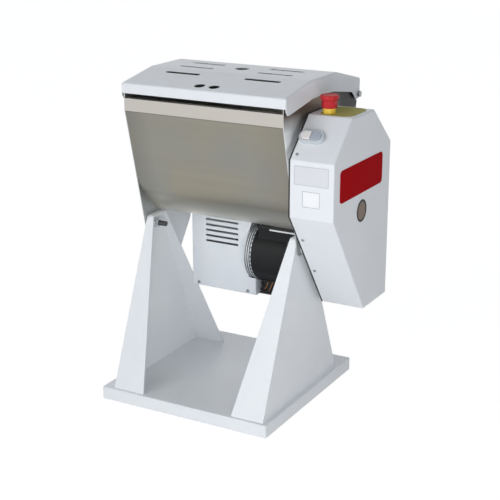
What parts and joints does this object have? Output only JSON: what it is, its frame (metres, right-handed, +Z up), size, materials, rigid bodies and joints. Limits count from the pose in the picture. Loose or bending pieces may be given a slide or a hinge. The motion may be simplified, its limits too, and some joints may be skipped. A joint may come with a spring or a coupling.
{
  "type": "dough mixer",
  "caption": "Small tilting dough mixer: a lidded stainless trough with a mixing shaft and a covered side drive, on a folded steel stand.",
  "frame": {"origin": "centre of the footprint, on the floor plane", "axes": "+Z up, +X along the mixing shaft towards the drive cover, +Y from the front to the back"},
  "size_m": [0.539, 0.458, 0.751],
  "materials": {
    "white_paint": "smooth white powder coat",
    "black_paint": "satin black enamel",
    "stainless": "brushed stainless sheet",
    "plain_steel": "zinc plated",
    "dark_steel": "blackened steel",
    "cast_housing": "cast iron",
    "cast_aluminium": "turned cast aluminium",
    "bronze": "dull bronze",
    "black_rubber": "matt rubber",
    "black_plastic": "matt",
    "grey_plastic": "matt",
    "light_plastic": "fine texture",
    "white_plastic": "satin",
    "blue_grey_plastic": "satin",
    "yellow_plastic": "satin",
    "red_plastic": "satin",
    "yellow_label": "printed film, plain",
    "red_label": "printed film, plain",
    "white_label": "printed film, plain"
  },
  "bodies": {
    "stand": {"base_pan": "white_paint", "base_feet": "black_rubber", "left_stand": "white_paint", "right_stand": "white_paint", "pivot_bolts": "dark_steel", "pivot_washers": "dark_steel", "pivot_nuts": "dark_steel", "stop_pins": "dark_steel", "stop_sleeves": "black_rubber"},
    "trough_unit": {"trough_shell": "stainless", "left_end_plate": "stainless", "right_end_plate": "stainless", "left_carrier_plate": "white_paint", "drive_plate": "white_paint", "pivot_bushes": "bronze", "shaft_seals": "black_rubber", "shaft_bearings": "cast_housing", "counter_bearings": "cast_housing", "bridge_posts": "dark_steel", "bearing_bridge": "plain_steel", "drive_cover": "white_paint", "cover_screws": "plain_steel", "cord_gland": "black_plastic", "lid_pins": "dark_steel", "drive_belt": "black_rubber", "motor_frame": "black_paint", "motor_front_bell": "cast_aluminium", "motor_rear_bell": "cast_aluminium", "motor_plate": "plain_steel", "fan_box": "white_paint", "box_screws": "plain_steel", "lead_tray": "grey_plastic", "run_capacitor": "grey_plastic", "estop_base": "yellow_plastic", "estop_legend": "yellow_label", "switch_housing": "light_plastic", "side_badge": "red_label", "side_disc": "bronze", "front_labels": "white_label"},
    "lid": {"lid": "white_paint"},
    "agitator": {"main_shaft": "stainless", "mixing_arm": "stainless", "main_gear": "cast_housing", "gear_nut": "plain_steel"},
    "countershaft": {"countershaft": "plain_steel", "pinion": "plain_steel", "large_pulley": "cast_housing"},
    "rotor": {"motor_shaft": "plain_steel", "motor_pulley": "cast_housing", "cooling_fan": "black_plastic"},
    "estop": {"estop_head": "red_plastic"},
    "start": {"start_button": "white_plastic"},
    "stop": {"stop_button": "blue_grey_plastic"}
  },
  "joints": [
    {"name": "tilt", "type": "hinge", "parent": "stand", "child": "trough_unit", "pos_m": [0.009, -0.03, 0.386], "axis": [1, 0, 0], "range_deg": [0, 90]},
    {"name": "lid_hinge", "type": "hinge", "parent": "trough_unit", "child": "lid", "pos_m": [0.009, 0.23, 0.684], "axis": [-1, 0, 0], "range_deg": [0, 100]},
    {"name": "agitator_spin", "type": "hinge", "parent": "trough_unit", "child": "agitator", "pos_m": [0.009, 0.052, 0.5525], "axis": [1, 0, 0], "continuous": true},
    {"name": "countershaft_spin", "type": "hinge", "parent": "trough_unit", "child": "countershaft", "pos_m": [0.26, 0.04139, 0.43121], "axis": [1, 0, 0], "continuous": true},
    {"name": "motor_spin", "type": "hinge", "parent": "trough_unit", "child": "rotor", "pos_m": [0.1, 0.1, 0.315], "axis": [1, 0, 0], "continuous": true},
    {"name": "estop_push", "type": "slide", "parent": "trough_unit", "child": "estop", "axis": [0, 0, -1], "range_m": [0, 0.004], "stiffness_N_per_m": 800},
    {"name": "start_push", "type": "slide", "parent": "trough_unit", "child": "start", "axis": [0, 0.6944, -0.7196], "range_m": [0, 0.003], "stiffness_N_per_m": 300},
    {"name": "stop_push", "type": "slide", "parent": "trough_unit", "child": "stop", "axis": [0, 0.6944, -0.7196], "range_m": [0, 0.003], "stiffness_N_per_m": 300}
  ],
  "couplings": [
    {"joint": "countershaft_spin", "follows": "agitator_spin", "ratio": -3.5},
    {"joint": "motor_spin", "follows": "agitator_spin", "ratio": -9.8519}
  ]
}
